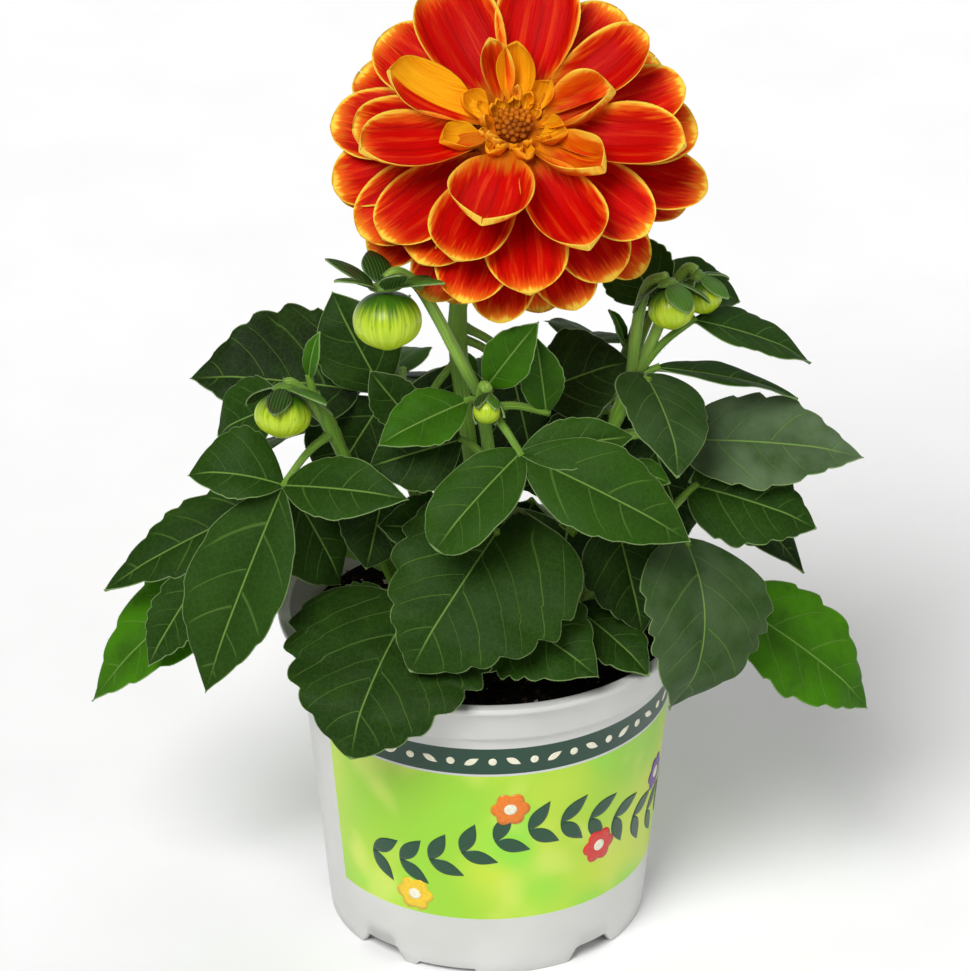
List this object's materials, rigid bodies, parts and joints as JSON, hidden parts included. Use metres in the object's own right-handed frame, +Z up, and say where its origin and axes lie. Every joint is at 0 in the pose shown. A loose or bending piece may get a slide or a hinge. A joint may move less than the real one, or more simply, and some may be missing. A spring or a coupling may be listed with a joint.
{
  "type": "potted dwarf dahlia",
  "caption": "Dwarf dahlia with one open red and yellow bloom, round buds and toothed leaves on leafy shoots, growing in soil in a round white nursery pot.",
  "frame": {"origin": "on the pot's axis, on the plane that the pot's foot stands on", "axes": "+Z up along the pot's axis, -Y towards the front that the open bloom faces, +X to the right of the front"},
  "size_m": [0.245, 0.1634, 0.3068],
  "materials": {
    "pot_plastic": "white injection-moulded polypropylene, satin gloss, with a printed wrap",
    "potting_soil": "moist dark peat and bark crumb, matt",
    "petal": "velvety red petal with a yellow margin and fine lengthwise veins",
    "disc_floret": "orange-yellow waxy florets",
    "foliage": "dark green leaf with pale veins and a soft sheen",
    "bud": "smooth yellow-green bud with darker green streaks"
  },
  "bodies": {
    "root": {"pot": "pot_plastic", "soil": "potting_soil", "bloom_rays": "petal", "bloom_disc": "disc_floret", "bloom_shoot": "foliage", "front_shoot": "foliage", "left_low_shoot": "foliage", "left_shoot": "foliage", "back_left_shoot": "foliage", "right_shoot": "foliage", "right_low_shoot": "foliage", "back_right_shoot": "foliage", "back_shoot": "foliage", "bud_front_left": "bud", "bud_left": "bud", "bud_front": "bud", "bud_right": "bud", "bud_far_right": "bud"}
  },
  "joints": []
}
